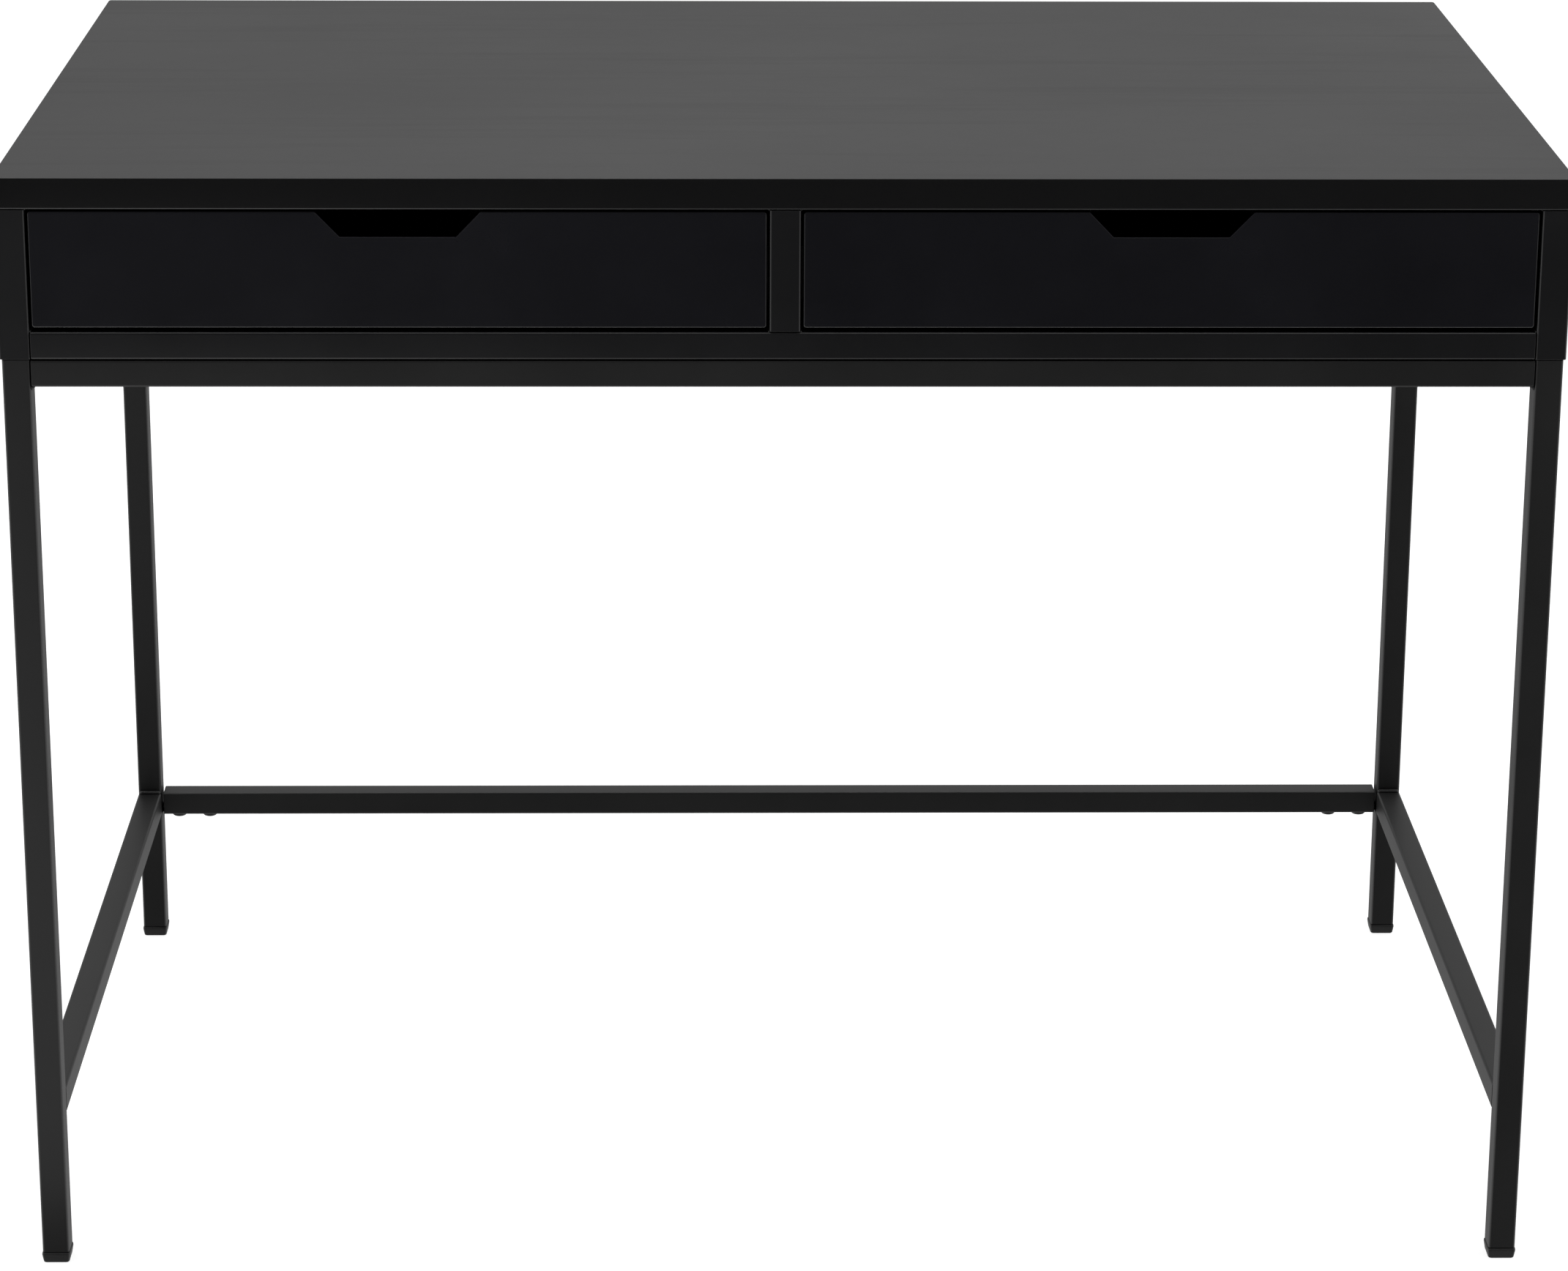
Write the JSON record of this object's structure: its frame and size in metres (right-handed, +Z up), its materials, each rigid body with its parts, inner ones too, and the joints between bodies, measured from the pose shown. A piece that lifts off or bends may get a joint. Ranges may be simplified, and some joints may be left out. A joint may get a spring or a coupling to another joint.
{
  "type": "writing desk with drawers",
  "caption": "Slim black steel writing desk: folded top, shallow case with side-by-side drawers that pull by cut-out finger notches, and a welded square-tube leg frame.",
  "frame": {"origin": "on the floor, under the middle of the tabletop", "axes": "+Z up; +X towards the right drawer for a person facing the drawers; the drawers open towards -Y; +Y towards the back panel"},
  "size_m": [1, 0.6, 0.75],
  "materials": {
    "black_powder_coat": "satin black powder coat with a fine orange-peel texture",
    "black_zinc": "black zinc-plated steel of the bolts and drawer runners",
    "black_plastic": "matt black moulded plastic"
  },
  "bodies": {
    "desk": {"tabletop": "black_powder_coat", "side_panel_left": "black_powder_coat", "side_panel_right": "black_powder_coat", "back_panel": "black_powder_coat", "bottom_panel": "black_powder_coat", "front_post_left": "black_powder_coat", "front_post_right": "black_powder_coat", "front_post_centre": "black_powder_coat", "case_front_rail": "black_powder_coat", "centre_divider": "black_powder_coat", "runner_spacer_left": "black_powder_coat", "runner_spacer_right": "black_powder_coat", "left_runner_outer_case_profile": "black_zinc", "left_runner_inner_case_profile": "black_zinc", "right_runner_outer_case_profile": "black_zinc", "right_runner_inner_case_profile": "black_zinc", "leg_front_left": "black_powder_coat", "foot_cap_front_left": "black_plastic", "frame_bolt_front_left": "black_zinc", "leg_front_right": "black_powder_coat", "foot_cap_front_right": "black_plastic", "frame_bolt_front_right": "black_zinc", "leg_back_left": "black_powder_coat", "foot_cap_back_left": "black_plastic", "frame_bolt_back_left": "black_zinc", "leg_back_right": "black_powder_coat", "foot_cap_back_right": "black_plastic", "frame_bolt_back_right": "black_zinc", "frame_rail_front": "black_powder_coat", "frame_rail_back": "black_powder_coat", "frame_rail_left": "black_powder_coat", "frame_rail_right": "black_powder_coat", "side_rung_left": "black_powder_coat", "side_rung_right": "black_powder_coat", "back_rung": "black_powder_coat", "rung_tab_left": "black_powder_coat", "rung_tab_right": "black_powder_coat", "rung_bolt_left_outer": "black_zinc", "rung_bolt_left_inner": "black_zinc", "rung_bolt_right_outer": "black_zinc", "rung_bolt_right_inner": "black_zinc"},
    "left_drawer": {"left_drawer_front": "black_powder_coat", "left_drawer_side_left": "black_powder_coat", "left_drawer_side_right": "black_powder_coat", "left_drawer_floor": "black_powder_coat", "left_drawer_back": "black_powder_coat", "left_runner_outer_drawer_profile": "black_zinc", "left_runner_inner_drawer_profile": "black_zinc"},
    "left_runner_middles": {"left_runner_outer_middle_profile": "black_zinc", "left_runner_inner_middle_profile": "black_zinc"},
    "right_drawer": {"right_drawer_front": "black_powder_coat", "right_drawer_side_left": "black_powder_coat", "right_drawer_side_right": "black_powder_coat", "right_drawer_floor": "black_powder_coat", "right_drawer_back": "black_powder_coat", "right_runner_outer_drawer_profile": "black_zinc", "right_runner_inner_drawer_profile": "black_zinc"},
    "right_runner_middles": {"right_runner_outer_middle_profile": "black_zinc", "right_runner_inner_middle_profile": "black_zinc"}
  },
  "joints": [
    {"name": "left_drawer_slide", "type": "slide", "parent": "desk", "child": "left_drawer", "axis": [0, -1, 0], "range_m": [0, 0.4]},
    {"name": "left_runner_slide", "type": "slide", "parent": "desk", "child": "left_runner_middles", "axis": [0, -1, 0], "range_m": [0, 0.2]},
    {"name": "right_drawer_slide", "type": "slide", "parent": "desk", "child": "right_drawer", "axis": [0, -1, 0], "range_m": [0, 0.4]},
    {"name": "right_runner_slide", "type": "slide", "parent": "desk", "child": "right_runner_middles", "axis": [0, -1, 0], "range_m": [0, 0.2]}
  ],
  "couplings": [
    {"joint": "left_runner_slide", "follows": "left_drawer_slide", "ratio": 0.5},
    {"joint": "right_runner_slide", "follows": "right_drawer_slide", "ratio": 0.5}
  ]
}
